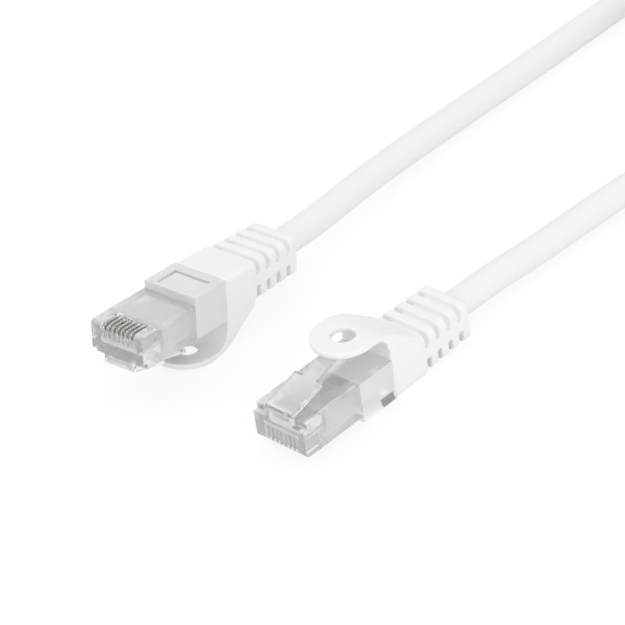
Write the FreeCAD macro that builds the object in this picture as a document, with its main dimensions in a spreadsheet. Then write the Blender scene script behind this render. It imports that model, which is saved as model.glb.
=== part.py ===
import FreeCAD, Part
import math
import os

import Sketcher
from FreeCAD import Placement, Rotation, Vector

# An ethernet patch cable: a white round cable with a clear 8-way modular plug in a white moulded boot
# at each end. Each plug is built in its own frame: X across, Y back from the nose, Z from the contact
# side up to the latch side. The plugs are then laid on the surface, and the cable joins them.

doc = FreeCAD.newDocument("patch_cable")
sheet = doc.addObject("Spreadsheet::Sheet", "sizes")


# A size keeps its number together with the sheet formula that gives it, so that sketches can be both
# drawn and bound from the same expression.
class Size:
    def __init__(self, number, formula):
        self.number = float(number)
        self.formula = formula

    def _with(self, other, sign, number):
        return Size(number, f"({self.formula} {sign} {formula(other)})")

    def __add__(self, other):
        return self._with(other, "+", self.number + number(other))

    def __sub__(self, other):
        return self._with(other, "-", self.number - number(other))

    def __mul__(self, other):
        return self._with(other, "*", self.number * number(other))

    def __truediv__(self, other):
        return self._with(other, "/", self.number / number(other))

    def __neg__(self):
        return Size(-self.number, f"(0 - {self.formula})")

    __radd__ = __add__
    __rmul__ = __mul__


def number(value):
    return value.number if isinstance(value, Size) else float(value)


def root_of(value):
    return Size(math.sqrt(value.number), f"sqrt({value.formula})")


def formula(value):
    return value.formula if isinstance(value, Size) else f"{float(value):.6f}"


def size(alias, value):
    """Writes one driving dimension, in mm or degrees, into the sheet."""
    row = len(names) + 1
    names.append(alias)
    sheet.set(f"A{row}", alias)
    sheet.set(f"B{row}", str(value))
    sheet.setAlias(f"B{row}", alias)
    return Size(value, f"{sheet.Name}.{alias}")


names = []

# Fits between pieces
clearance = size("clearance", 0.05)
hinge_clearance = size("hinge_clearance", 0.15)

# Plug housing
plug_width = size("plug_width", 11.68)
plug_length = size("plug_length", 22.4)
nose_height = size("nose_height", 6.6)
front_height = size("front_height", 5.4)
ledge_depth = size("ledge_depth", 1.0)
nose_chamfer = size("nose_chamfer", 0.45)
step_place = size("step_place", 14.2)
step_rise = size("step_rise", 1.4)
neck_inset = size("neck_inset", 0.9)
neck_length = size("neck_length", 2.6)

# Contacts
contact_count = size("contact_count", 8)
contact_pitch = size("contact_pitch", 1.016)
contact_thickness = size("contact_thickness", 0.35)
contact_slot = size("contact_slot", 0.55)
contact_setback = size("contact_setback", 0.65)
contact_length = size("contact_length", 3.3)
contact_recess = size("contact_recess", 0.3)
contact_height = size("contact_height", 2.05)
contact_crown = size("contact_crown", 0.8)
tooth_height = size("tooth_height", 0.8)
notch_depth = size("notch_depth", 1.25)

# Cable, its wires and the guide that holds them in a row
cable_diameter = size("cable_diameter", 5.5)
jacket_wall = size("jacket_wall", 0.55)
cable_height = size("cable_height", 2.6)
jacket_start = size("jacket_start", 14.6)
wire_diameter = size("wire_diameter", 0.9)
wire_height = size("wire_height", 3.4)
wire_start = size("wire_start", 0.95)
row_gap = size("row_gap", 1.2)
inner_wire_place = size("inner_wire_place", 0.6)
outer_wire_place = size("outer_wire_place", 1.58)
wire_bend_room = size("wire_bend_room", 0.7)
wire_split_length = size("wire_split_length", 1.0)
wire_gather_gap = size("wire_gather_gap", 0.4)
separator_web = size("separator_web", 0.2)
guide_start = size("guide_start", 6.5)
guide_length = size("guide_length", 3.0)
chamber_width = size("chamber_width", 8.9)
chamber_floor = size("chamber_floor", 1.2)
chamber_height = size("chamber_height", 4.2)
chamber_start = size("chamber_start", 5.2)

# Strain relief bar and side catch
bar_front_wall = size("bar_front_wall", 1.0)
bar_rear_wall = size("bar_rear_wall", 2.0)
bar_width = size("bar_width", 8.0)
bar_recess = size("bar_recess", 0.35)
catch_setback = size("catch_setback", 0.3)
catch_length = size("catch_length", 3.1)
catch_height = size("catch_height", 1.9)
catch_lift = size("catch_lift", 0.15)
catch_slant = size("catch_slant", 0.5)
catch_depth = size("catch_depth", 1.2)

# Latch lever
latch_width = size("latch_width", 6.2)
latch_neck_width = size("latch_neck_width", 3.25)
latch_shoulder = size("latch_shoulder", 8.4)
latch_reach = size("latch_reach", 15.8)
latch_pivot_y = size("latch_pivot_y", 1.1)
latch_pivot_z = size("latch_pivot_z", 7.45)
latch_pivot_radius = size("latch_pivot_radius", 0.65)
latch_guard_gap = size("latch_guard_gap", 0.35)
latch_tip_thickness = size("latch_tip_thickness", 0.9)

# Boot
boot_body_length = size("boot_body_length", 7.8)
boot_corner = size("boot_corner", 0.9)
tail_length = size("tail_length", 12.8)
tail_front_width = size("tail_front_width", 11.4)
tail_front_height = size("tail_front_height", 7.9)
tail_end_width = size("tail_end_width", 10.3)
tail_end_height = size("tail_end_height", 7.7)
tail_corner = size("tail_corner", 1.4)
tail_chamfer = size("tail_chamfer", 0.5)
slot_count = size("slot_count", 4)
slot_first = size("slot_first", 31.0)
slot_pitch = size("slot_pitch", 2.9)
slot_width = size("slot_width", 1.1)
slot_depth = size("slot_depth", 0.9)
slot_wall = size("slot_wall", 0.2)
slot_floor_corner = size("slot_floor_corner", 1.2)
spine_height = size("spine_height", 2.1)

# Latch guard
guard_crest_height = size("guard_crest_height", 12.95)
guard_crest_place = size("guard_crest_place", 17.5)
guard_thickness = size("guard_thickness", 1.1)
guard_outer_radius = size("guard_outer_radius", 12.0)
guard_inner_radius = size("guard_inner_radius", 2.95)
guard_pivot_y = size("guard_pivot_y", 23.4)
guard_pivot_radius = size("guard_pivot_radius", 1.2)
guard_hole_radius = size("guard_hole_radius", 2.2)
guard_root_drop = size("guard_root_drop", 0.9)

# How the two plugs and the coil lie on the surface
right_place_x = size("right_place_x", 17.8)
right_place_y = size("right_place_y", -18.65)
left_place_x = size("left_place_x", -15.25)
left_place_y = size("left_place_y", -23.0)
left_yaw = size("left_yaw", 4.9)
left_pitch = size("left_pitch", 8.5)

# The coil of put-away cable
coil_gap = size("coil_gap", 0.5)
coil_radius = size("coil_radius", 34.1)
coil_centre_x = size("coil_centre_x", 10.75)
coil_centre_y = size("coil_centre_y", 141.4)
coil_exit_angle = size("coil_exit_angle", 20.0)
coil_half_turns = size("coil_half_turns", 3)
coil_end_run = size("coil_end_run", 6.0)
coil_leave_run = size("coil_leave_run", 12.0)
left_exit_run = size("left_exit_run", 9.0)
right_exit_run = size("right_exit_run", 10.5)

doc.recompute()

# How far a cut reaches past the piece that it cuts
OVERRUN = 1.0

# Lengths that several pieces share
boot_end = plug_length + boot_body_length
tail_end = boot_end + tail_length
half_width = plug_width / 2
cable_radius = cable_diameter / 2
wire_radius = wire_diameter / 2
row_half_width = contact_pitch * (contact_count / 2)
first_contact = -(contact_pitch * (contact_count - 1) / 2)
chamber_top = chamber_floor + chamber_height
bar_face = cable_height - cable_radius
bar_start = step_place + bar_front_wall
bar_end = plug_length - bar_rear_wall
catch_end = plug_length - catch_setback - catch_slant
catch_start = catch_end - catch_length
guard_under = guard_crest_height - guard_thickness
latch_tip_height = guard_under - latch_guard_gap

# The guard's outer arc, inner arc and round root touch each other smoothly.
guard_outer_z = guard_crest_height - guard_outer_radius
guard_outer_reach = guard_outer_radius - guard_pivot_radius
guard_pivot_z = guard_outer_z + root_of(
    guard_outer_reach * guard_outer_reach
    - (guard_pivot_y - guard_crest_place) * (guard_pivot_y - guard_crest_place)
)
guard_inner_z = guard_under - guard_inner_radius
guard_inner_reach = guard_inner_radius + guard_pivot_radius
guard_root_run = guard_pivot_y + guard_pivot_radius - guard_crest_place
guard_root_height = guard_outer_z + root_of(
    guard_outer_radius * guard_outer_radius - guard_root_run * guard_root_run
)


# Sketches and features

PLANE = {"across": "XY_Plane", "front": "XZ_Plane", "side": "YZ_Plane"}


def bind(thing, prop, value):
    """Sets a property and ties it to the sheet."""
    thing.setExpression(prop, formula(value))


def new_body(name):
    return doc.addObject("PartDesign::Body", name)


def origin_part(body, role):
    return next(o for o in body.Origin.OriginFeatures if o.Role == role)


def new_sketch(body, name, plane, place=0.0):
    """An empty sketch across Z, facing the nose, or on the side, at a distance along that normal."""
    sketch = body.newObject("Sketcher::SketchObject", name)
    sketch.AttachmentSupport = [(origin_part(body, PLANE[plane]), "")]
    sketch.MapMode = "FlatFace"
    shift = -place if plane == "front" else place
    sketch.AttachmentOffset = Placement(Vector(0, 0, number(shift)), Rotation())
    bind(sketch, "AttachmentOffset.Base.z", shift)
    return sketch


def tie(sketch, kind, value, *where):
    index = sketch.addConstraint(Sketcher.Constraint(kind, *where, number(value)))
    sketch.setExpression(f"Constraints[{index}]", formula(value))


def tie_point(sketch, index, end, u, v):
    tie(sketch, "DistanceX", u, -1, 1, index, end)
    tie(sketch, "DistanceY", v, -1, 1, index, end)


def arc_through(start, end, radius, left):
    """The short arc from start to end, with its middle on the left or right of the way there."""
    chord = end - start
    half = chord.Length / 2
    rise = radius - math.sqrt(max(radius * radius - half * half, 0.0))
    side = Vector(-chord.y, chord.x, 0).normalize()
    middle = (start + end) * 0.5 + side * (rise if left else -rise)
    return Part.Arc(start, middle, end)


def outline(sketch, points):
    """A closed outline through points (u, v), with an arc to the next one where a third value gives
    its radius: positive bows to the left of the way round, negative to the right."""
    places = [Vector(number(p[0]), number(p[1]), 0) for p in points]
    ends = []
    for i, point in enumerate(points):
        start, end = places[i], places[(i + 1) % len(points)]
        if len(point) == 3:
            radius = number(point[2])
            index = sketch.addGeometry(arc_through(start, end, abs(radius), radius > 0))
            size_of_arc = point[2] if radius > 0 else -point[2]
            tie(sketch, "Radius", size_of_arc, index)
        else:
            index = sketch.addGeometry(Part.LineSegment(start, end))
        begins_here = sketch.getPoint(index, 1).distanceToPoint(start) < 1e-6
        ends.append((index, 1, 2) if begins_here else (index, 2, 1))
    for i, (index, first, _) in enumerate(ends):
        before, _, last = ends[i - 1]
        sketch.addConstraint(Sketcher.Constraint("Coincident", before, last, index, first))
        tie_point(sketch, index, first, points[i][0], points[i][1])
    return sketch


def rectangle(sketch, u0, u1, v0, v1):
    return outline(sketch, [(u0, v0), (u1, v0), (u1, v1), (u0, v1)])


def rounded_rectangle(sketch, u0, u1, v0, v1, corner):
    bow = -corner
    return outline(
        sketch,
        [
            (u0 + corner, v0),
            (u1 - corner, v0, bow),
            (u1, v0 + corner),
            (u1, v1 - corner, bow),
            (u1 - corner, v1),
            (u0 + corner, v1, bow),
            (u0, v1 - corner),
            (u0, v0 + corner, bow),
        ],
    )


def circle(sketch, u, v, radius):
    middle = Vector(number(u), number(v), 0)
    index = sketch.addGeometry(Part.Circle(middle, Vector(0, 0, 1), number(radius)))
    tie(sketch, "Radius", radius, index)
    tie_point(sketch, index, 3, u, v)
    return sketch


def pad(body, name, sketch, length, symmetric=False, backwards=False):
    feature = body.newObject("PartDesign::Pad", name)
    feature.Profile = sketch
    feature.Midplane = symmetric
    feature.Reversed = backwards
    feature.Length = number(length)
    bind(feature, "Length", length)
    doc.recompute()
    return feature


def pocket(body, name, sketch, length, symmetric=False, backwards=False):
    """A cut that has to take something away."""
    before = body.Shape.Volume
    feature = body.newObject("PartDesign::Pocket", name)
    feature.Profile = sketch
    feature.Midplane = symmetric
    feature.Reversed = backwards
    feature.Length = number(length)
    bind(feature, "Length", length)
    doc.recompute()
    if body.Shape.Volume > before - 1e-4:
        raise ValueError(f"{body.Label}: {name} cuts nothing")
    return feature


def repeat(body, name, features, axis, pitch, count):
    pattern = body.newObject("PartDesign::LinearPattern", name)
    pattern.Originals = features
    pattern.Direction = (origin_part(body, axis), [""])
    pattern.Length = number(pitch * (count - 1))
    bind(pattern, "Length", pitch * (count - 1))
    pattern.Occurrences = int(number(count))
    bind(pattern, "Occurrences", count)
    body.Tip = pattern
    doc.recompute()
    return pattern


def edges_where(body, test):
    """Names of the edges whose middle passes a test."""
    found = []
    for i, edge in enumerate(body.Shape.Edges):
        middle = edge.valueAt((edge.FirstParameter + edge.LastParameter) / 2)
        if test(edge, middle):
            found.append(f"Edge{i + 1}")
    return found


def chamfer(body, name, edges, width):
    base = body.Tip
    feature = body.newObject("PartDesign::Chamfer", name)
    feature.Base = (base, edges)
    feature.Size = number(width)
    bind(feature, "Size", width)
    doc.recompute()
    return feature


# Plug housing: the clear moulding with its nose, raised rear, contact slots and inner chambers

def build_housing(name):
    body = new_body(name)
    side = outline(
        new_sketch(body, "housing_side", "side"),
        [
            (0.0, nose_chamfer),
            (0.0, front_height),
            (ledge_depth, front_height),
            (ledge_depth, nose_height),
            (plug_length, nose_height),
            (plug_length, -step_rise),
            (step_place, -step_rise),
            (step_place, 0.0),
            (nose_chamfer, 0.0),
        ],
    )
    pad(body, "housing_block", side, plug_width, symmetric=True)
    neck = rectangle(
        new_sketch(body, "neck_section", "front", plug_length),
        -half_width + neck_inset,
        half_width - neck_inset,
        -step_rise + neck_inset,
        nose_height - neck_inset,
    )
    pad(body, "neck", neck, neck_length, backwards=True)

    # The latch springs from this root on the front ledge, in a round seat.
    root = rectangle(
        new_sketch(body, "latch_root_side", "side"),
        0.0,
        latch_pivot_y,
        front_height,
        latch_pivot_z,
    )
    pad(body, "latch_root", root, latch_width, symmetric=True)
    seat = circle(
        new_sketch(body, "latch_seat_circle", "side"),
        latch_pivot_y,
        latch_pivot_z,
        latch_pivot_radius + hinge_clearance,
    )
    pocket(body, "latch_seat", seat, plug_width, symmetric=True)

    # Eight contact slots, each with a shallow notch that runs out at the nose
    slot_start = contact_setback - clearance
    slot_end = contact_setback + contact_length + clearance
    channel_floor = wire_height - wire_radius - clearance
    slot_plan = rectangle(
        new_sketch(body, "contact_slot_plan", "across"),
        first_contact - contact_slot / 2,
        first_contact + contact_slot / 2,
        slot_start,
        slot_end,
    )
    slot = pocket(body, "contact_slot", slot_plan, channel_floor, backwards=True)
    notch_plan = rectangle(
        new_sketch(body, "contact_notch_plan", "across"),
        first_contact - contact_slot / 2,
        first_contact + contact_slot / 2,
        -nose_chamfer,
        slot_start,
    )
    notch = pocket(body, "contact_notch", notch_plan, notch_depth, backwards=True)
    repeat(body, "contact_slots", [slot, notch], "X_Axis", contact_pitch, contact_count)

    # The wires' row channel, the chamber for the guide and the bore for the jacket
    channel = rectangle(
        new_sketch(body, "channel_section", "front", wire_start - clearance),
        -row_half_width - clearance,
        row_half_width + clearance,
        channel_floor,
        wire_height + wire_radius + clearance,
    )
    pocket(body, "wire_channel", channel, chamber_start - wire_start + 2 * clearance)
    chamber = rectangle(
        new_sketch(body, "chamber_section", "front", chamber_start),
        -chamber_width / 2,
        chamber_width / 2,
        chamber_floor,
        chamber_top,
    )
    pocket(body, "wire_chamber", chamber, jacket_start - chamber_start)
    bore = circle(
        new_sketch(body, "jacket_bore_circle", "front", jacket_start - clearance),
        0.0,
        cable_height,
        cable_radius + clearance,
    )
    pocket(body, "jacket_bore", bore, plug_length + neck_length)

    # The window that the strain relief bar is pressed through, and the catch's window in one side
    bar_plan = rectangle(
        new_sketch(body, "bar_window_plan", "across", -step_rise),
        -bar_width / 2,
        bar_width / 2,
        bar_start,
        bar_end,
    )
    pocket(body, "bar_window", bar_plan, step_rise + bar_face + 4 * clearance, backwards=True)
    catch = catch_outline(body, "catch_window_side", 0.0)
    pocket(body, "catch_window", catch, catch_depth)
    return body


def catch_outline(body, name, gap):
    """The slanted window near the boot, or the catch in it, which is smaller by a gap all round."""
    low = catch_lift - step_rise + gap
    high = catch_lift - step_rise + catch_height - gap
    front = catch_start + gap
    rear = catch_end - gap
    return outline(
        new_sketch(body, name, "side", half_width),
        [
            (front + catch_slant, low),
            (rear + catch_slant, low),
            (rear, high),
            (front, high),
        ],
    )


# Latch lever: a wide root with two shoulders, and a narrow finger that reaches under the guard

def build_latch(name):
    body = new_body(name)
    side = outline(
        new_sketch(body, "lever_side", "side"),
        [
            (latch_pivot_y, latch_pivot_z + latch_pivot_radius),
            (latch_reach, latch_tip_height),
            (latch_reach, latch_tip_height - latch_tip_thickness),
            (latch_pivot_y, latch_pivot_z - latch_pivot_radius, latch_pivot_radius),
            (latch_pivot_y - latch_pivot_radius, latch_pivot_z, latch_pivot_radius),
        ],
    )
    pad(body, "lever", side, latch_width, symmetric=True)
    for hand, sign in (("left", -1), ("right", 1)):
        plan = rectangle(
            new_sketch(body, f"{hand}_relief_plan", "across", latch_pivot_z),
            latch_neck_width * (sign / 2),
            latch_width * float(sign),
            latch_shoulder,
            latch_reach + OVERRUN,
        )
        pocket(body, f"{hand}_relief", plan, nose_height, backwards=True)
    return body


# Contact blades: rounded at the nose, with three teeth that pierce the wire's insulation

def build_contacts(name):
    body = new_body(name)
    front = contact_setback
    rear = contact_setback + contact_length
    low = contact_recess
    shelf = contact_recess + contact_height
    tip = shelf + tooth_height
    tooth = contact_length / 3
    points = [(front + contact_crown, low), (rear, low), (rear, shelf)]
    for i in (2, 1, 0):
        points.append((front + tooth * (i + 0.5), tip))
        points.append((front + tooth * i, shelf))
    points.append((front, low + contact_crown, -contact_crown))
    side = outline(new_sketch(body, "blade_side", "side", first_contact), points)
    blade = pad(body, "blade", side, contact_thickness, symmetric=True)
    repeat(body, "blades", [blade], "X_Axis", contact_pitch, contact_count)
    return body


# Wire guide: the bar with one wide mouth that keeps the eight wires in a row

def build_guide(name):
    body = new_body(name)
    block = rectangle(
        new_sketch(body, "guide_section", "front", guide_start),
        -chamber_width / 2 + clearance,
        chamber_width / 2 - clearance,
        chamber_floor + clearance,
        chamber_top - clearance,
    )
    pad(body, "guide_block", block, guide_length, backwards=True)
    mouth = rectangle(
        new_sketch(body, "guide_mouth_section", "front", guide_start),
        -row_half_width - clearance,
        row_half_width + clearance,
        wire_height - wire_radius - clearance,
        wire_height + wire_radius + clearance,
    )
    pocket(body, "guide_mouth", mouth, guide_length)
    return body


# Strain relief bar: pressed through its window onto the cable's jacket

def build_bar(name):
    body = new_body(name)
    low = bar_recess - step_rise
    plan = rectangle(
        new_sketch(body, "bar_plan", "across", low),
        -bar_width / 2 + clearance,
        bar_width / 2 - clearance,
        bar_start + clearance,
        bar_end - clearance,
    )
    pad(body, "bar", plan, bar_face - low)
    return body


# Side catch: the grey insert that shows in the housing's side window beside the boot

def build_catch(name):
    body = new_body(name)
    side = catch_outline(body, "catch_side", clearance)
    pad(body, "catch", side, catch_depth - clearance, backwards=True)
    return body


# Jacket end: the cable's sheath from inside the plug to the end of the boot's tail

def build_jacket(name):
    body = new_body(name)
    section = new_sketch(body, "jacket_section", "front", jacket_start)
    circle(section, 0.0, cable_height, cable_radius)
    circle(section, 0.0, cable_height, cable_radius - jacket_wall)
    pad(body, "jacket", section, tail_end - jacket_start, backwards=True)
    return body


# Cross separator: the plastic cross that keeps the pairs apart inside the sheath

def build_separator(name):
    body = new_body(name)
    reach = cable_radius - jacket_wall - clearance
    web = separator_web / 2
    mid = cable_height
    section = outline(
        new_sketch(body, "cross_section", "front", jacket_start),
        [
            (-web, mid - reach),
            (web, mid - reach),
            (web, mid - web),
            (reach, mid - web),
            (reach, mid + web),
            (web, mid + web),
            (web, mid + reach),
            (-web, mid + reach),
            (-web, mid + web),
            (-reach, mid + web),
            (-reach, mid - web),
            (-web, mid - web),
        ],
    )
    pad(body, "cross", section, tail_end - jacket_start, backwards=True)
    return body


# Boot: body block, root of the guard, tapered tail with four pairs of slots, and the cable's bore

def build_boot(name):
    body = new_body(name)
    block = rounded_rectangle(
        new_sketch(body, "boot_section", "front", plug_length),
        -half_width,
        half_width,
        -step_rise,
        nose_height,
        boot_corner,
    )
    pad(body, "boot_block", block, boot_body_length, backwards=True)

    # The guard's root rises from the latch side and ends in a round seat for the guard.
    root = outline(
        new_sketch(body, "guard_root_side", "side"),
        [
            (plug_length, nose_height - boot_corner),
            (plug_length, guard_pivot_z - guard_root_drop),
            (guard_pivot_y, guard_pivot_z),
            (guard_pivot_y + guard_pivot_radius, guard_root_height),
            (boot_end, nose_height),
            (boot_end, nose_height - boot_corner),
        ],
    )
    pad(body, "guard_root", root, plug_width, symmetric=True)
    seat = circle(
        new_sketch(body, "guard_seat_circle", "side"),
        guard_pivot_y,
        guard_pivot_z,
        guard_pivot_radius + hinge_clearance,
    )
    pocket(body, "guard_seat", seat, plug_width * 2, symmetric=True)

    sections = []
    for tag, place, width, height in (
        ("front", boot_end, tail_front_width, tail_front_height),
        ("end", tail_end, tail_end_width, tail_end_height),
    ):
        sections.append(
            rounded_rectangle(
                new_sketch(body, f"tail_{tag}_section", "front", place),
                -width / 2,
                width / 2,
                cable_height - height / 2,
                cable_height + height / 2,
                tail_corner,
            )
        )
    tail = body.newObject("PartDesign::AdditiveLoft", "tail")
    tail.Profile = sections[0]
    tail.Sections = sections[1:]
    doc.recompute()
    end_place = number(tail_end)
    rim = edges_where(body, lambda edge, middle: abs(middle.y - end_place) < 1e-3)
    chamfer(body, "tail_rim", rim, tail_chamfer)

    # Each slot goes round the latch side or the contact side and stops at a spine on either flank.
    slots = []
    spine = spine_height / 2
    beyond = plug_width
    floor_reach = tail_end_width / 2 - slot_depth
    floor_rise = cable_radius + clearance + slot_wall
    for tag, sign in (("upper", 1), ("lower", -1)):
        edge = cable_height + spine * sign
        cut = new_sketch(body, f"{tag}_slot_section", "front", slot_first)
        lobe = [
            (-beyond, edge),
            (-beyond, cable_height + beyond * sign),
            (beyond, cable_height + beyond * sign),
            (beyond, edge),
            (floor_reach, edge),
            (floor_reach, cable_height + (floor_rise - slot_floor_corner) * sign),
            (floor_reach - slot_floor_corner, cable_height + floor_rise * sign),
            (slot_floor_corner - floor_reach, cable_height + floor_rise * sign),
            (-floor_reach, cable_height + (floor_rise - slot_floor_corner) * sign),
            (-floor_reach, edge),
        ]
        outline(cut, lobe)
        slots.append(pocket(body, f"{tag}_slot", cut, slot_width))
    repeat(body, "tail_slots", slots, "Y_Axis", slot_pitch, slot_count)

    bore = circle(
        new_sketch(body, "boot_bore_circle", "front", plug_length - OVERRUN),
        0.0,
        cable_height,
        cable_radius + clearance,
    )
    pocket(body, "boot_bore", bore, tail_end)
    socket = rectangle(
        new_sketch(body, "neck_socket_section", "front", plug_length),
        -half_width + neck_inset - clearance,
        half_width - neck_inset + clearance,
        -step_rise + neck_inset - clearance,
        nose_height - neck_inset + clearance,
    )
    pocket(body, "neck_socket", socket, neck_length + clearance)
    return body


# Latch guard: the arched tongue over the latch, with a round end and a round hole

def build_guard(name):
    body = new_body(name)
    front = guard_crest_place - half_width
    outer_share = guard_outer_radius / guard_outer_reach
    inner_share = guard_inner_radius / guard_inner_reach
    inner_y = guard_pivot_y - root_of(
        guard_inner_reach * guard_inner_reach
        - (guard_pivot_z - guard_inner_z) * (guard_pivot_z - guard_inner_z)
    )
    side = outline(
        new_sketch(body, "guard_side", "side"),
        [
            (front, guard_crest_height),
            (guard_crest_place, guard_crest_height, guard_outer_radius),
            (
                guard_crest_place + (guard_pivot_y - guard_crest_place) * outer_share,
                guard_outer_z + (guard_pivot_z - guard_outer_z) * outer_share,
                guard_pivot_radius,
            ),
            (guard_pivot_y, guard_pivot_z - guard_pivot_radius, guard_pivot_radius),
            (
                inner_y + (guard_pivot_y - inner_y) * inner_share,
                guard_inner_z + (guard_pivot_z - guard_inner_z) * inner_share,
                -guard_inner_radius,
            ),
            (inner_y, guard_under),
            (front, guard_under),
        ],
    )
    pad(body, "tongue", side, plug_width, symmetric=True)
    end = outline(
        new_sketch(body, "tongue_end_plan", "across"),
        [
            (-half_width - OVERRUN, guard_crest_place),
            (-half_width, guard_crest_place, -half_width),
            (0.0, front, -half_width),
            (half_width, guard_crest_place),
            (half_width + OVERRUN, guard_crest_place),
            (half_width + OVERRUN, front - OVERRUN),
            (-half_width - OVERRUN, front - OVERRUN),
        ],
    )
    pocket(body, "tongue_end", end, guard_crest_height * 2, symmetric=True)
    hole = circle(
        new_sketch(body, "tongue_hole_circle", "across"), 0.0, guard_crest_place, guard_hole_radius
    )
    pocket(body, "tongue_hole", hole, guard_crest_height * 2, symmetric=True)
    return body


# Wires: eight conductors run in a row under the contacts, then part into two rows inside the sheath

WIRE_ORDER = ("orange", "orange", "green", "blue", "blue", "green", "brown", "brown")

# Sides of the sections of wires and cable, which keep the area of the round ones
WIRE_SIDES = 8
CABLE_SIDES = 10

# How much of the shorter run beside a bend its arc takes up
BEND_SHARE = 0.45


def rounded_path(points):
    """Straight runs joined by tangent arcs, each as large as its two runs allow. Gives the wire and
    the arcs' radii."""
    edges, radii = [], []
    begin = points[0]
    for before, corner, after in zip(points, points[1:], points[2:]):
        back, ahead = before - corner, after - corner
        shorter = min(back.Length, ahead.Length)
        half_turn = (math.pi - back.getAngle(ahead)) / 2
        cut = BEND_SHARE * shorter
        radius = cut / math.tan(half_turn)
        start = corner + back.normalize() * cut
        end = corner + ahead.normalize() * cut
        inward = (back + ahead).normalize()
        middle = corner + inward * (radius / math.cos(half_turn) - radius)
        edges.append(Part.LineSegment(begin, start).toShape())
        edges.append(Part.Arc(start, middle, end).toShape())
        radii.append(radius)
        begin = end
    edges.append(Part.LineSegment(begin, points[-1]).toShape())
    return Part.Wire(edges), radii


def tube_along(path, radius, sides, mitred=False):
    """A solid tube along a wire, with a flat turned up, checked against its section times its length."""
    first = path.Edges[0]
    start, way = first.valueAt(first.FirstParameter), first.tangentAt(first.FirstParameter)
    level = way.cross(Vector(0, 0, 1)).normalize()
    up = level.cross(way)
    step = 2 * math.pi / sides
    reach = radius * math.sqrt(step / math.sin(step))
    turns = [math.pi / 2 + (i + 0.5) * step for i in range(sides + 1)]
    ring = Part.makePolygon([start + (level * math.cos(a) + up * math.sin(a)) * reach for a in turns])
    tube = path.makePipeShell([ring], True, False, 1 if mitred else 0)
    expected = math.pi * radius**2 * path.Length
    if abs(tube.Volume - expected) > 0.01 * expected:
        raise ValueError(f"tube volume {tube.Volume:.1f}, expected {expected:.1f}")
    return tube


def wire_points(index):
    """One wire's route from under its contact to the end of the boot."""
    x_row = number(first_contact) + index * number(contact_pitch)
    places = (-outer_wire_place, -inner_wire_place, inner_wire_place, outer_wire_place)
    x_inside = number(places[index // 2])
    up = 0.5 if index % 2 == 0 else -0.5
    z_row, z_inside = number(wire_height), number(cable_height + row_gap * up)
    leave_row = number(guide_start + guide_length + wire_bend_room)
    reach_rows = leave_row + number(wire_split_length)
    gather = number(jacket_start - wire_gather_gap)
    return [
        Vector(x_row, number(wire_start), z_row),
        Vector(x_row, leave_row, z_row),
        Vector(x_row, reach_rows, z_inside),
        Vector(x_inside, gather, z_inside),
        Vector(x_inside, number(tail_end), z_inside),
    ]


def build_pair(name, colour):
    wires = []
    for index, own_colour in enumerate(WIRE_ORDER):
        if own_colour == colour:
            path = Part.makePolygon(wire_points(index))
            wires.append(tube_along(path, number(wire_radius), WIRE_SIDES, mitred=True))
    feature = doc.addObject("Part::Feature", name)
    feature.Shape = Part.makeCompound(wires)
    return feature


# The two plugs, each built in its own frame and then laid in its place

def build_plug(side):
    pieces = [
        build_housing(f"{side}_plug_housing"),
        build_latch(f"{side}_latch_lever"),
        build_contacts(f"{side}_contact_blades"),
        build_guide(f"{side}_wire_guide"),
        build_bar(f"{side}_strain_relief_bar"),
        build_catch(f"{side}_side_catch"),
        build_jacket(f"{side}_jacket_end"),
        build_separator(f"{side}_cross_separator"),
        build_boot(f"{side}_boot"),
        build_guard(f"{side}_latch_guard"),
    ]
    for colour in dict.fromkeys(WIRE_ORDER):
        pieces.append(build_pair(f"{side}_{colour}_pair", colour))
    return pieces


def lowest(shape, pose):
    laid = shape.copy()
    laid.Placement = pose
    return laid.optimalBoundingBox(False).ZMin


def lay(pieces, pose):
    for piece in pieces:
        piece.Placement = pose


# The right plug lies flat on its raised rear, latch upward.
right_pieces = build_plug("right")
right_pose = Placement(
    Vector(number(right_place_x), number(right_place_y), number(step_rise)), Rotation()
)
lay(right_pieces, right_pose)

# The left plug lies contacts upward on its guard, nose up, tail down and turned a little outward.
left_pieces = build_plug("left")
left_turn = (
    Rotation(Vector(0, 0, 1), number(left_yaw))
    * Rotation(Vector(1, 0, 0), -number(left_pitch))
    * Rotation(Vector(0, 1, 0), 180)
)
left_pose = Placement(Vector(number(left_place_x), number(left_place_y), 0), left_turn)
left_guard = next(piece for piece in left_pieces if piece.Label == "left_latch_guard")
left_pose.Base.z = -lowest(left_guard.Shape, left_pose)
lay(left_pieces, left_pose)


# The cable: a lead from each boot and the coil of cable put away between them

def straight(start, end):
    return Part.LineSegment(start, end).toShape()


def half_turn(start, radius, way, climb=0.0):
    """Half a turn across the coil, over the back (way 1) or the front (way -1), and its end."""
    centre = start + Vector(way * radius, 0, climb / 2)
    end = start + Vector(2 * way * radius, 0, climb)
    reach = (start - centre).Length
    middle = centre + Vector(0, way * reach, 0)
    return Part.Arc(start, middle, end).toShape(), end


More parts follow.
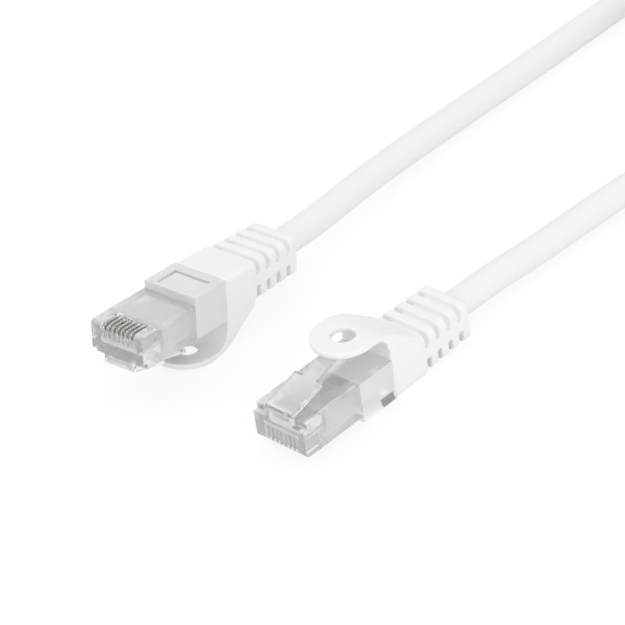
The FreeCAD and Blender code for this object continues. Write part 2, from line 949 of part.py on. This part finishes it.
def coil_path():
    """Spirals in on the surface, climbs a layer while it turns back, spirals out and leaves straight
    towards the right plug."""
    pitch = number(cable_diameter + coil_gap)
    run = number(coil_end_run)
    radius = number(coil_radius)
    centre = number(coil_centre_x)
    point = Vector(centre - radius, number(coil_centre_y), number(cable_radius))
    edges = [straight(point - Vector(0, run, 0), point)]
    way = 1
    for _ in range(int(number(coil_half_turns))):
        arc, point = half_turn(point, radius, way)
        edges.append(arc)
        way, radius = -way, radius - pitch / 2
    arc, point = half_turn(point, radius, way, climb=pitch)
    edges.append(arc)
    for _ in range(int(number(coil_half_turns))):
        way, radius = -way, radius + pitch / 2
        arc, point = half_turn(point, radius, way)
        edges.append(arc)
    radius += pitch / 2
    angle = math.radians(number(coil_exit_angle))
    hub = point - Vector(radius, 0, 0)
    middle = hub + Vector(math.cos(angle / 2), -math.sin(angle / 2), 0) * radius
    end = hub + Vector(math.cos(angle), -math.sin(angle), 0) * radius
    edges.append(Part.Arc(point, middle, end).toShape())
    last = end + Vector(-math.sin(angle), -math.cos(angle), 0) * run
    edges.append(straight(end, last))
    return Part.Wire(edges)


def least_gap(path, diameter):
    """The least distance between the tube's surface and itself, past its own next half turn."""
    samples = 720
    points = path.discretize(Number=samples)
    step = path.Length / (samples - 1)
    apart = int(math.pi * number(coil_radius) / 2 / step)
    least = min(
        points[i].distanceToPoint(points[j])
        for i in range(len(points))
        for j in range(i + apart, len(points))
    )
    return least - diameter


def add_cord(name, path):
    feature = doc.addObject("Part::Feature", name)
    feature.Shape = tube_along(path, number(cable_radius), CABLE_SIDES)


coil_wire = coil_path()
first_run, last_run = coil_wire.Edges[0], coil_wire.Edges[-1]
coil_start = first_run.valueAt(first_run.FirstParameter)
coil_end = last_run.valueAt(last_run.LastParameter)
coil_way = last_run.tangentAt(last_run.LastParameter)
left_exit = left_pose.multVec(Vector(0, number(tail_end), number(cable_height)))
left_way = left_turn.multVec(Vector(0, 1, 0))
right_exit = right_pose.multVec(Vector(0, number(tail_end), number(cable_height)))

left_points = [
    left_exit,
    left_exit + left_way * number(left_exit_run),
    Vector(-22.05, 46.4, 4.5),
    Vector(-23.5, 66.4, 3.2),
    Vector(coil_start.x, 98.4, number(cable_radius)),
    coil_start,
]
right_points = [
    coil_end,
    coil_end + coil_way * number(coil_leave_run),
    Vector(23.25, 84.4, 5.2),
    Vector(19.45, 70.4, 3.6),
    Vector(18.05, 46.4, 3.2),
    right_exit + Vector(0, number(right_exit_run), 0),
    right_exit,
]
left_lead, left_radii = rounded_path(left_points)
right_lead, right_radii = rounded_path(right_points)
add_cord("left_lead", left_lead)
add_cord("cable_coil", coil_wire)
add_cord("right_lead", right_lead)
print("left lead radii", [round(r, 1) for r in left_radii])
print("right lead radii", [round(r, 1) for r in right_radii])
print("coil least gap to itself", round(least_gap(coil_wire, number(cable_diameter)), 2))
hinge_places = {
    "latch": Vector(0, number(latch_pivot_y), number(latch_pivot_z)),
    "guard": Vector(0, number(guard_pivot_y), number(guard_pivot_z)),
}
for side, pose in (("left", left_pose), ("right", right_pose)):
    across = pose.Rotation.multVec(Vector(1, 0, 0))
    for what, place in hinge_places.items():
        laid = pose.multVec(place) / 1000
        print(f"{side} {what} hinge at", [round(c, 6) for c in laid], "along", [round(c, 6) for c in across])
free_length = left_lead.Length + coil_wire.Length + right_lead.Length
print("left lead, coil, right lead", [round(w.Length, 1) for w in (left_lead, coil_wire, right_lead)])
print("cable from nose to nose", round(free_length + 2 * number(tail_end), 1))

doc.recompute()

# Every piece has to be sound before any file is written.
nodes = [o for o in doc.Objects if o.isDerivedFrom("PartDesign::Body") or o.TypeId == "Part::Feature"]
for item in doc.Objects:
    if "Invalid" in item.State or "Error" in item.State:
        raise ValueError(f"{item.Label} failed: {item.State}")
for node in nodes:
    if node.Shape.isNull() or not node.Shape.isValid():
        raise ValueError(f"{node.Label} has no sound shape")
os.makedirs("parts", exist_ok=True)
for node in nodes:
    node.Shape.exportStep(f"parts/{node.Label}.step")
print(len(nodes), "pieces written")
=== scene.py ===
import math

import bmesh
import bpy
from mathutils import Matrix, Vector


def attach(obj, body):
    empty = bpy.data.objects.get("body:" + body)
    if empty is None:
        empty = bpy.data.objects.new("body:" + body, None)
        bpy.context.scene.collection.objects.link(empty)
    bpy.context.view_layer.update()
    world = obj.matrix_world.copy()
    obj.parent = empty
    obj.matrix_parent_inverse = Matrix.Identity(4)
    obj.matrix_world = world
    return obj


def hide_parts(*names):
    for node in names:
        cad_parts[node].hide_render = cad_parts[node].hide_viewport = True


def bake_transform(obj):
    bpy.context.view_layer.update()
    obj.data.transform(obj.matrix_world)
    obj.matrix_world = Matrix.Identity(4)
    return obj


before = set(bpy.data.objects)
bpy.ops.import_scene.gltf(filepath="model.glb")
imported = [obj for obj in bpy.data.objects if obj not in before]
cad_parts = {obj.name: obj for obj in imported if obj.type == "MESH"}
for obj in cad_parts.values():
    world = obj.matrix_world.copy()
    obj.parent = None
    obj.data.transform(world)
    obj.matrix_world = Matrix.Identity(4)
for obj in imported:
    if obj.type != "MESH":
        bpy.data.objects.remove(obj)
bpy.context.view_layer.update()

# An ethernet patch cable on a pale surface: a clear modular plug in a soft white boot at either
# end, and the spare cable coiled behind them. Everything is in metres, in the frame that the packed
# part brings.


# Camera: a long lens that looks down on the two plugs from the right front, tilted a little as the
# picture is. Light that is caught in the clear plugs takes many turns before it leaves them, so it
# is followed for longer than usual.
MM = 0.001
camera_aim = Vector((4.38, 4.68, 10.0)) * MM
camera_distance = 0.70
camera_azimuth = 48.5
camera_elevation = 35.1
camera_roll = -8.9
picture_width_px = 625
focal_length_px = 4040


def turn(degrees, axis):
    return Matrix.Rotation(math.radians(degrees), 4, axis)


camera_data = bpy.data.cameras.new("camera")
camera_data.sensor_fit = "HORIZONTAL"
camera_data.lens = camera_data.sensor_width * focal_length_px / picture_width_px
camera_data.clip_start = 0.01
camera_data.clip_end = 20.0
camera = bpy.data.objects.new("camera", camera_data)
bpy.context.scene.collection.objects.link(camera)
azimuth, elevation = math.radians(camera_azimuth), math.radians(camera_elevation)
camera_back = Vector(
    (
        math.sin(azimuth) * math.cos(elevation),
        -math.cos(azimuth) * math.cos(elevation),
        math.sin(elevation),
    )
)
camera.matrix_world = (
    Matrix.Translation(camera_aim + camera_back * camera_distance)
    @ camera_back.to_track_quat("Z", "Y").to_matrix().to_4x4()
    @ turn(camera_roll, "Z")
)
bpy.context.scene.camera = camera
bpy.context.scene.view_settings.view_transform = "Standard"
bpy.context.scene.cycles.max_bounces = 32
bpy.context.scene.cycles.glossy_bounces = 16
bpy.context.scene.cycles.transmission_bounces = 24


# Cable: a round white PVC jacket over four twisted pairs, 1 m from nose to nose and 0.91 m between
# the boots. It leaves the left boot, runs back to the coil of spare cable, winds in, climbs a
# layer, winds out and comes back to the right boot.
cable_diameter = 5.5 * MM
cable_height = 2.6 * MM
tail_end = 43.0 * MM
left_straight = 9.0 * MM
right_straight = 10.5 * MM
coil_radius = 34.1 * MM
coil_centre = Vector((10.75, 141.4, 0.0)) * MM
coil_pitch = 6.0 * MM
coil_half_turns = 3
coil_exit_angle = math.radians(20.0)
coil_end_run = 6.0 * MM
coil_straight = 12.0 * MM
points_per_half_turn = 6

# Each plug is drawn in its own frame, X across, Y back from the nose and Z from the contacts to the
# latch, as the part has it. The right one lies latch up, the left one on its latch guard with its
# contacts up, its tail down and turned a little.
PLUG_PLACE = {
    "right": Matrix.Translation(Vector((17.8, -18.65, 1.4)) * MM),
    "left": Matrix.Translation(Vector((-15.25, -23.0, 15.5258)) * MM)
    @ turn(4.9, "Z")
    @ turn(-8.5, "X")
    @ turn(180.0, "Y"),
}


def half_turn_points(start, radius, way, climb):
    """Corners of the polygon round a half turn, over the back (way 1) or the front (way -1)."""
    step = math.pi / points_per_half_turn
    outside = radius / math.cos(step / 2)
    found = []
    for k in range(points_per_half_turn):
        done = (k + 0.5) * step
        across = way * (radius - outside * math.cos(done))
        along = way * outside * math.sin(done)
        found.append(start + Vector((across, along, climb * (k + 0.5) / points_per_half_turn)))
    return found, start + Vector((2 * way * radius, 0, climb))


def coil_points():
    """The coil's corners, from its first straight end to its last, and the way that it leaves."""
    radius, way = coil_radius, 1
    place = coil_centre + Vector((-radius, 0, cable_diameter / 2))
    found = [place - Vector((0, coil_end_run, 0))]
    half_turns = [0] * coil_half_turns + [coil_pitch] + [0] * coil_half_turns
    for i, climb in enumerate(half_turns):
        corners, place = half_turn_points(place, radius, way, climb)
        found += corners
        way = -way
        radius += -coil_pitch / 2 if i < coil_half_turns else coil_pitch / 2
    hub = place - Vector((radius, 0, 0))
    outside = radius / math.cos(coil_exit_angle / 4)
    for share in (1, 3):
        turned = share * coil_exit_angle / 4
        found.append(hub + Vector((math.cos(turned), -math.sin(turned), 0)) * outside)
    leave = Vector((math.cos(coil_exit_angle), -math.sin(coil_exit_angle), 0))
    away = Vector((-math.sin(coil_exit_angle), -math.cos(coil_exit_angle), 0))
    found.append(hub + leave * radius + away * coil_end_run)
    return found, away


left_exit = PLUG_PLACE["left"] @ Vector((0, tail_end, cable_height))
left_way = PLUG_PLACE["left"].to_3x3() @ Vector((0, 1, 0))
right_exit = PLUG_PLACE["right"] @ Vector((0, tail_end, cable_height))
wound, coil_away = coil_points()
route = [
    left_exit,
    left_exit + left_way * left_straight,
    Vector((-22.05, 46.4, 4.5)) * MM,
    Vector((-23.5, 66.4, 3.2)) * MM,
    Vector((-23.35, 98.4, 2.75)) * MM,
    *wound,
    wound[-1] + coil_away * coil_straight,
    Vector((23.25, 84.4, 5.2)) * MM,
    Vector((19.45, 70.4, 3.6)) * MM,
    Vector((18.05, 46.4, 3.2)) * MM,
    right_exit + Vector((0, right_straight, 0)),
    right_exit,
]

cable_curve = bpy.data.curves.new("cable", "CURVE")
cable_curve.dimensions = "3D"
cable_spline = cable_curve.splines.new("NURBS")
cable_spline.points.add(len(route) - 1)
for point, place in zip(cable_spline.points, route):
    point.co = (*place, 1.0)
    point.radius = cable_diameter / 2
cable_spline.order_u = 3
cable_spline.use_endpoint_u = True
cable_spline.resolution_u = 6
cable_spline.use_smooth = True
cable_curve.bevel_depth = 1.0
cable_curve.bevel_resolution = 8
cable_curve.use_fill_caps = True
cable = bpy.data.objects.new("white_cable", cable_curve)
bpy.context.scene.collection.objects.link(cable)
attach(cable, "cable")
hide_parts("left_lead", "cable_coil", "right_lead")


def moulded_grain():
    """What the opaque plastics share: a fine mould grain and faint cloudy patches."""
    group = bpy.data.node_groups.new("moulded_grain", "ShaderNodeTree")
    for name, kind, in_out in (
        ("Colour", "NodeSocketColor", "INPUT"),
        ("Cloud Colour", "NodeSocketColor", "INPUT"),
        ("Grain Size", "NodeSocketFloat", "INPUT"),
        ("Roughness", "NodeSocketFloat", "INPUT"),
        ("Roughness Spread", "NodeSocketFloat", "INPUT"),
        ("Colour", "NodeSocketColor", "OUTPUT"),
        ("Roughness", "NodeSocketFloat", "OUTPUT"),
        ("Height", "NodeSocketFloat", "OUTPUT"),
    ):
        group.interface.new_socket(name, in_out=in_out, socket_type=kind)
    nodes, links = group.nodes, group.links
    given = nodes.new("NodeGroupInput")
    result = nodes.new("NodeGroupOutput")
    place = nodes.new("ShaderNodeTexCoord")
    clouds = nodes.new("ShaderNodeTexNoise")
    clouds.inputs["Scale"].default_value = 220.0
    clouds.inputs["Detail"].default_value = 3.0
    links.new(place.outputs["Object"], clouds.inputs["Vector"])
    mix = nodes.new("ShaderNodeMix")
    mix.data_type = "RGBA"
    links.new(clouds.outputs["Fac"], mix.inputs["Factor"])
    links.new(given.outputs["Colour"], mix.inputs["A"])
    links.new(given.outputs["Cloud Colour"], mix.inputs["B"])
    links.new(mix.outputs["Result"], result.inputs["Colour"])
    spread = nodes.new("ShaderNodeMath")
    spread.operation = "MULTIPLY_ADD"
    links.new(clouds.outputs["Fac"], spread.inputs[0])
    links.new(given.outputs["Roughness Spread"], spread.inputs[1])
    links.new(given.outputs["Roughness"], spread.inputs[2])
    links.new(spread.outputs["Value"], result.inputs["Roughness"])
    grain = nodes.new("ShaderNodeTexNoise")
    grain.inputs["Detail"].default_value = 2.0
    links.new(place.outputs["Object"], grain.inputs["Vector"])
    links.new(given.outputs["Grain Size"], grain.inputs["Scale"])
    links.new(grain.outputs["Fac"], result.inputs["Height"])
    return group


GRAIN = moulded_grain()


def plastic(name, colour, cloud_colour, roughness, grain_size, grain_depth):
    """An opaque moulded or extruded plastic with the shared grain."""
    material = bpy.data.materials.new(name)
    material.use_nodes = True
    nodes, links = material.node_tree.nodes, material.node_tree.links
    shader = nodes["Principled BSDF"]
    shader.inputs["IOR"].default_value = 1.5
    grain = nodes.new("ShaderNodeGroup")
    grain.node_tree = GRAIN
    grain.inputs["Colour"].default_value = (*colour, 1)
    grain.inputs["Cloud Colour"].default_value = (*cloud_colour, 1)
    grain.inputs["Grain Size"].default_value = grain_size
    grain.inputs["Roughness"].default_value = roughness
    grain.inputs["Roughness Spread"].default_value = 0.06
    links.new(grain.outputs["Colour"], shader.inputs["Base Color"])
    links.new(grain.outputs["Roughness"], shader.inputs["Roughness"])
    bump = nodes.new("ShaderNodeBump")
    bump.inputs["Strength"].default_value = 0.5
    bump.inputs["Distance"].default_value = grain_depth
    links.new(grain.outputs["Height"], bump.inputs["Height"])
    links.new(bump.outputs["Normal"], shader.inputs["Normal"])
    return material


jacket_pvc = plastic(
    "jacket_pvc", (0.87, 0.87, 0.87), (0.85, 0.85, 0.85),
    roughness=0.42, grain_size=2600.0, grain_depth=0.03 * MM,
)
cable_curve.materials.append(jacket_pvc)


# Inside the cable's ends: the jacket runs through the boot into the plug, and between its four
# pairs lies a cross of white plastic that keeps them apart. Both keep the part's own shape and only
# get a finish; the jacket's end is painted lighter than the cable's jacket, as painted light.
SIDES = ("left", "right")


def dress(node, material):
    """A node that keeps the part's own mesh and only gets its finish."""
    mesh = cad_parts[node].data
    mesh.materials.clear()
    mesh.materials.append(material)


# Painted light: the same PVC as the cable's jacket, painted a lighter white to offset the shade
# inside the clear plug.
inner_jacket_painted_light = plastic(
    "inner_jacket_painted_light", (0.96, 0.96, 0.96), (0.94, 0.94, 0.94),
    roughness=0.42, grain_size=2600.0, grain_depth=0.03 * MM,
)
separator_plastic = plastic(
    "separator_plastic", (0.92, 0.92, 0.90), (0.90, 0.90, 0.88),
    roughness=0.5, grain_size=4000.0, grain_depth=0.02 * MM,
)
for side in SIDES:
    dress(f"{side}_jacket_end", inner_jacket_painted_light)
    dress(f"{side}_cross_separator", separator_plastic)


# Wires: eight solid conductors in pale insulation, four pairs, laid side by side under the
# contacts. The plug's clear moulding takes most of the colour out of them.
PAIR_COLOURS = {
    "orange": (0.97, 0.93, 0.89),
    "green": (0.90, 0.95, 0.91),
    "blue": (0.90, 0.93, 0.97),
    "brown": (0.91, 0.88, 0.85),
}
cloud_darkness = 0.94
for colour_name, colour in PAIR_COLOURS.items():
    insulation = plastic(
        f"{colour_name}_insulation", colour, tuple(c * cloud_darkness for c in colour),
        roughness=0.35, grain_size=5000.0, grain_depth=0.01 * MM,
    )
    for side in SIDES:
        dress(f"{side}_{colour_name}_pair", insulation)


# Plug housing: clear polycarbonate from a polished mould, with the contact slots, the raised rear
# and the root of the latch, clear at the nose, satin in the middle and frosted at the rear. The
# strain relief bar and the wire guide are pressed into it, and the latch lever is moulded on.
weld_distance = 0.002 * MM
cut_distance = 0.001 * MM
flat_angle = math.radians(0.6)
crease_angle = math.radians(28.0)
sharp_angle = math.radians(40.0)


def rounded_copy(node, body, material, radius):
    """A copy of the part's own shape with the small radius that a mould leaves on every edge."""
    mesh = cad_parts[node].data.copy()
    mesh.name = f"{node}_skin"
    work = bmesh.new()
    work.from_mesh(mesh)
    bmesh.ops.remove_doubles(work, verts=work.verts, dist=weld_distance)
    bmesh.ops.dissolve_limit(
        work, angle_limit=flat_angle, verts=work.verts, edges=work.edges,
        use_dissolve_boundaries=False,
    )
    creases = [
        e for e in work.edges if len(e.link_faces) == 2 and e.calc_face_angle() > crease_angle
    ]
    bmesh.ops.bevel(
        work, geom=creases, offset=radius, offset_type="OFFSET", affect="EDGES", segments=2,
        profile=0.5, material=-1, clamp_overlap=True, loop_slide=True,
    )
    bmesh.ops.triangulate(work, faces=[f for f in work.faces if len(f.verts) > 4])
    work.to_mesh(mesh)
    work.free()
    mesh.shade_smooth()
    mesh.set_sharp_from_angle(angle=sharp_angle)
    mesh.materials.clear()
    mesh.materials.append(material)
    piece = bpy.data.objects.new(f"{node}_skin", mesh)
    bpy.context.scene.collection.objects.link(piece)
    normals = piece.modifiers.new("flat_faces_first", "WEIGHTED_NORMAL")
    normals.keep_sharp = True
    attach(piece, body)
    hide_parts(node)
    return piece


def clear_plastic(name, tint, roughness, clearness):
    """A clear plastic with the faint flow marks of its mould, which also vary tint and gloss."""
    material = bpy.data.materials.new(name)
    material.use_nodes = True
    nodes, links = material.node_tree.nodes, material.node_tree.links
    shader = nodes["Principled BSDF"]
    shader.inputs["Transmission Weight"].default_value = clearness
    shader.inputs["IOR"].default_value = 1.56
    shader.inputs["Coat Weight"].default_value = 1.0
    shader.inputs["Coat IOR"].default_value = 1.9
    place = nodes.new("ShaderNodeTexCoord")
    flow = nodes.new("ShaderNodeTexNoise")
    flow.inputs["Scale"].default_value = 450.0
    flow.inputs["Detail"].default_value = 2.0
    links.new(place.outputs["Object"], flow.inputs["Vector"])
    gloss = nodes.new("ShaderNodeMapRange")
    gloss.inputs["To Min"].default_value = roughness
    gloss.inputs["To Max"].default_value = roughness * 2
    links.new(flow.outputs["Fac"], gloss.inputs["Value"])
    links.new(gloss.outputs["Result"], shader.inputs["Roughness"])
    mix = nodes.new("ShaderNodeMix")
    mix.data_type = "RGBA"
    mix.inputs["A"].default_value = (*tint, 1)
    mix.inputs["B"].default_value = (*(c * 0.97 for c in tint), 1)
    links.new(flow.outputs["Fac"], mix.inputs["Factor"])
    links.new(mix.outputs["Result"], shader.inputs["Base Color"])
    bump = nodes.new("ShaderNodeBump")
    bump.inputs["Strength"].default_value = 0.25
    bump.inputs["Distance"].default_value = 0.02 * MM
    links.new(flow.outputs["Fac"], bump.inputs["Height"])
    links.new(bump.outputs["Normal"], shader.inputs["Normal"])
    return material


def finish_from(piece, side, start, material):
    """Cut a piece across its plug at start, and give all that lies behind its own finish."""
    mesh = piece.data
    mesh.materials.append(material)
    work = bmesh.new()
    work.from_mesh(mesh)
    place = PLUG_PLACE[side]
    bmesh.ops.bisect_plane(
        work, geom=work.verts[:] + work.edges[:] + work.faces[:], dist=cut_distance,
        plane_co=place @ Vector((0, start, 0)), plane_no=place.to_3x3() @ Vector((0, 1, 0)),
    )
    to_plug = place.inverted()
    for face in work.faces:
        if (to_plug @ face.calc_center_median()).y > start:
            face.material_index = len(mesh.materials) - 1
    work.to_mesh(mesh)
    work.free()


housing_clear = clear_plastic("housing_clear", (1.0, 1.0, 0.995), roughness=0.03, clearness=0.84)
housing_satin = clear_plastic("housing_satin", (1.0, 1.0, 0.995), roughness=0.05, clearness=0.70)
housing_frosted = clear_plastic(
    "housing_frosted", (0.96, 0.96, 0.955), roughness=0.16, clearness=0.32
)
bar_frosted = clear_plastic("bar_frosted", (0.94, 0.94, 0.935), roughness=0.30, clearness=0.25)
guide_clear = clear_plastic("guide_clear", (1.0, 1.0, 0.995), roughness=0.08, clearness=1.0)
lever_clear = clear_plastic("lever_clear", (1.0, 1.0, 0.995), roughness=0.03, clearness=0.88)
satin_start = 5.4 * MM
frosted_start = 14.15 * MM
for side in SIDES:
    housing = rounded_copy(
        f"{side}_plug_housing", "cable", housing_clear, 0.10 * MM
    )
    finish_from(housing, side, satin_start, housing_satin)
    finish_from(housing, side, frosted_start, housing_frosted)
    rounded_copy(
        f"{side}_strain_relief_bar", "cable", bar_frosted, 0.12 * MM
    )
    rounded_copy(f"{side}_wire_guide", "cable", guide_clear, 0.08 * MM)
    rounded_copy(
        f"{side}_latch_lever", f"{side}_latch", lever_clear, 0.12 * MM
    )


# Contacts: eight stamped blades of phosphor bronze, gold over nickel, in each plug. They stand in
# the slots of its nose, pressed down onto the wires.
gold = bpy.data.materials.new("contact_gold")
gold.use_nodes = True
gold_nodes, gold_links = gold.node_tree.nodes, gold.node_tree.links
gold_shader = gold_nodes["Principled BSDF"]
gold_shader.inputs["Metallic"].default_value = 1.0
gold_place = gold_nodes.new("ShaderNodeTexCoord")
gold_wear = gold_nodes.new("ShaderNodeTexNoise")
gold_wear.inputs["Scale"].default_value = 2500.0
gold_links.new(gold_place.outputs["Object"], gold_wear.inputs["Vector"])
gold_mix = gold_nodes.new("ShaderNodeMix")
gold_mix.data_type = "RGBA"
gold_mix.inputs["A"].default_value = (0.72, 0.66, 0.56, 1)
gold_mix.inputs["B"].default_value = (0.60, 0.56, 0.49, 1)
gold_links.new(gold_wear.outputs["Fac"], gold_mix.inputs["Factor"])
gold_links.new(gold_mix.outputs["Result"], gold_shader.inputs["Base Color"])
gold_gloss = gold_nodes.new("ShaderNodeMapRange")
gold_gloss.inputs["To Min"].default_value = 0.35
gold_gloss.inputs["To Max"].default_value = 0.5
gold_links.new(gold_wear.outputs["Fac"], gold_gloss.inputs["Value"])
gold_links.new(gold_gloss.outputs["Result"], gold_shader.inputs["Roughness"])
for side in SIDES:
    rounded_copy(f"{side}_contact_blades", "cable", gold, 0.06 * MM)


# Side catch: a small insert of moulded plastic, pressed into the housing's side window next to the
# boot. Its dark grey is painted shade, for the shade inside that window.
catch_grey = plastic(
    "catch_grey", (0.33, 0.32, 0.31), (0.31, 0.30, 0.29),
    roughness=0.5, grain_size=5000.0, grain_depth=0.02 * MM,
)
for side in SIDES:
    rounded_copy(f"{side}_side_catch", "cable", catch_grey, 0.06 * MM)


# Boot and latch guard: one soft white PVC moulding in reality. The part holds them as two pieces on
# a hinge, so here their copies are joined over the hinge, closed with a fillet and melted into one
# skin with rounded rims.
boot_pvc = plastic(
    "boot_pvc", (0.89, 0.89, 0.89), (0.87, 0.87, 0.87),
    roughness=0.46, grain_size=5200.0, grain_depth=0.02 * MM,
)
boot_voxel = 0.15 * MM
boot_smoothings = 6
plug_width = 11.68 * MM
hinge_y = 23.4 * MM
hinge_z = 9.996 * MM
hinge_radius = 1.2 * MM
hinge_lap = 0.25 * MM
fillet_angles = [math.radians(a) for a in range(-165, 31, 15)]
fillet_tip_angle = math.radians(54.3)


def hinge_fillet(work, place):
    """A bar that fills the round seat between guard and boot, below their common surface."""
    outline = [(hinge_radius + hinge_lap, a) for a in fillet_angles]
    outline.append((hinge_radius, fillet_tip_angle))
    outline += [(hinge_radius - hinge_lap, a) for a in reversed(fillet_angles)]
    verts = [
        work.verts.new((-plug_width / 2, hinge_y + math.cos(a) * r, hinge_z + math.sin(a) * r))
        for r, a in outline
    ]
    face = work.faces.new(verts)
    pushed = bmesh.ops.extrude_face_region(work, geom=[face])["geom"]
    moved = [v for v in pushed if isinstance(v, bmesh.types.BMVert)]
    bmesh.ops.translate(work, verts=moved, vec=(plug_width, 0, 0))
    bmesh.ops.transform(work, matrix=place, verts=verts + moved)


for side in SIDES:
    work = bmesh.new()
    for node in (f"{side}_boot", f"{side}_latch_guard"):
        work.from_mesh(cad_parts[node].data)
    bmesh.ops.remove_doubles(work, verts=work.verts, dist=weld_distance)
    hinge_fillet(work, PLUG_PLACE[side])
    bmesh.ops.recalc_face_normals(work, faces=work.faces)
    joined = bpy.data.meshes.new(f"{side}_boot_joined")
    work.to_mesh(joined)
    work.free()

    rough = bpy.data.objects.new(f"{side}_boot_rough", joined)
    bpy.context.scene.collection.objects.link(rough)
    melt = rough.modifiers.new("melt", "REMESH")
    melt.mode = "VOXEL"
    melt.voxel_size = boot_voxel
    bpy.context.view_layer.update()
    melted = rough.evaluated_get(bpy.context.evaluated_depsgraph_get())
    skin = bpy.data.meshes.new_from_object(melted)
    skin.name = f"{side}_boot_skin"
    bpy.data.objects.remove(rough)
    bpy.data.meshes.remove(joined)

    work = bmesh.new()
    work.from_mesh(skin)
    for _ in range(boot_smoothings):
        bmesh.ops.smooth_vert(
            work, verts=work.verts, factor=0.5, use_axis_x=True, use_axis_y=True, use_axis_z=True
        )
    work.to_mesh(skin)
    work.free()
    skin.shade_smooth()
    skin.materials.clear()
    skin.materials.append(boot_pvc)
    piece = bpy.data.objects.new(f"{side}_boot_and_guard", skin)
    bpy.context.scene.collection.objects.link(piece)
    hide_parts(f"{side}_boot", f"{side}_latch_guard")
    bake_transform(piece)


# Studio: a plain white floor under a white sky, one broad lamp from the upper left and one from the
# right. The floor and the sky look white to the camera, in gloss and through clear plastic, and
# light the object at a plain level. A share of the floor stays matt, so that it keeps the shadow.
sky_light = 0.9
sky_seen_light = 1.0
floor_white = 0.88
floor_size = 3.0
floor_glow_light = 1.04
floor_glow_share = 0.80


def ray_is_seen(nodes, links):
    """1 for the camera's rays and those from gloss or through clear plastic, 0 for all others."""
    path = nodes.new("ShaderNodeLightPath")
    through = nodes.new("ShaderNodeMath")
    through.operation = "MAXIMUM"
    links.new(path.outputs["Is Glossy Ray"], through.inputs[0])
    links.new(path.outputs["Is Transmission Ray"], through.inputs[1])
    seen = nodes.new("ShaderNodeMath")
    seen.operation = "MAXIMUM"
    links.new(path.outputs["Is Camera Ray"], seen.inputs[0])
    links.new(through.outputs["Value"], seen.inputs[1])
    return seen.outputs["Value"]


world = bpy.data.worlds.new("sky")
bpy.context.scene.world = world
world.use_nodes = True
sky_nodes, sky_links = world.node_tree.nodes, world.node_tree.links
sky_soft = sky_nodes["Background"]
sky_soft.inputs["Color"].default_value = (1, 1, 1, 1)
sky_soft.inputs["Strength"].default_value = sky_light
sky_seen = sky_nodes.new("ShaderNodeBackground")
sky_seen.inputs["Color"].default_value = (1, 1, 1, 1)
sky_seen.inputs["Strength"].default_value = sky_seen_light
sky_mix = sky_nodes.new("ShaderNodeMixShader")
sky_links.new(ray_is_seen(sky_nodes, sky_links), sky_mix.inputs["Fac"])
sky_links.new(sky_soft.outputs["Background"], sky_mix.inputs[1])
sky_links.new(sky_seen.outputs["Background"], sky_mix.inputs[2])
sky_links.new(sky_mix.outputs["Shader"], sky_nodes["World Output"].inputs["Surface"])

floor_work = bmesh.new()
bmesh.ops.create_grid(floor_work, x_segments=1, y_segments=1, size=floor_size)
floor_mesh = bpy.data.meshes.new("floor")
floor_work.to_mesh(floor_mesh)
floor_work.free()
floor_material = bpy.data.materials.new("floor_white")
floor_material.use_nodes = True
floor_nodes, floor_links = floor_material.node_tree.nodes, floor_material.node_tree.links
floor_nodes.remove(floor_nodes["Principled BSDF"])
floor_matt = floor_nodes.new("ShaderNodeBsdfDiffuse")
floor_matt.inputs["Color"].default_value = (floor_white, floor_white, floor_white, 1)
floor_glow = floor_nodes.new("ShaderNodeEmission")
floor_glow.inputs["Strength"].default_value = floor_glow_light
floor_share = floor_nodes.new("ShaderNodeMath")
floor_share.operation = "MULTIPLY"
floor_share.inputs[1].default_value = floor_glow_share
floor_links.new(ray_is_seen(floor_nodes, floor_links), floor_share.inputs[0])
floor_mix = floor_nodes.new("ShaderNodeMixShader")
floor_links.new(floor_share.outputs["Value"], floor_mix.inputs["Fac"])
floor_links.new(floor_matt.outputs["BSDF"], floor_mix.inputs[1])
floor_links.new(floor_glow.outputs["Emission"], floor_mix.inputs[2])
floor_links.new(floor_mix.outputs["Shader"], floor_nodes["Material Output"].inputs["Surface"])
floor_mesh.materials.append(floor_material)
floor = bpy.data.objects.new("floor", floor_mesh)
bpy.context.scene.collection.objects.link(floor)


def soft_lamp(name, place, size, power):
    """A round lamp that shines on the object from its place."""
    data = bpy.data.lights.new(name, "AREA")
    data.shape = "DISK"
    data.size = size
    data.energy = power
    lamp = bpy.data.objects.new(name, data)
    bpy.context.scene.collection.objects.link(lamp)
    facing = Vector(place).to_track_quat("Z", "Y").to_matrix().to_4x4()
    lamp.matrix_world = Matrix.Translation(place) @ facing


soft_lamp("key_lamp", place=(-0.5, -0.5, 1.0), size=0.7, power=1.0)
soft_lamp("side_lamp", place=(0.9, -0.5, 0.5), size=0.6, power=2.3)

bpy.context.view_layer.update()
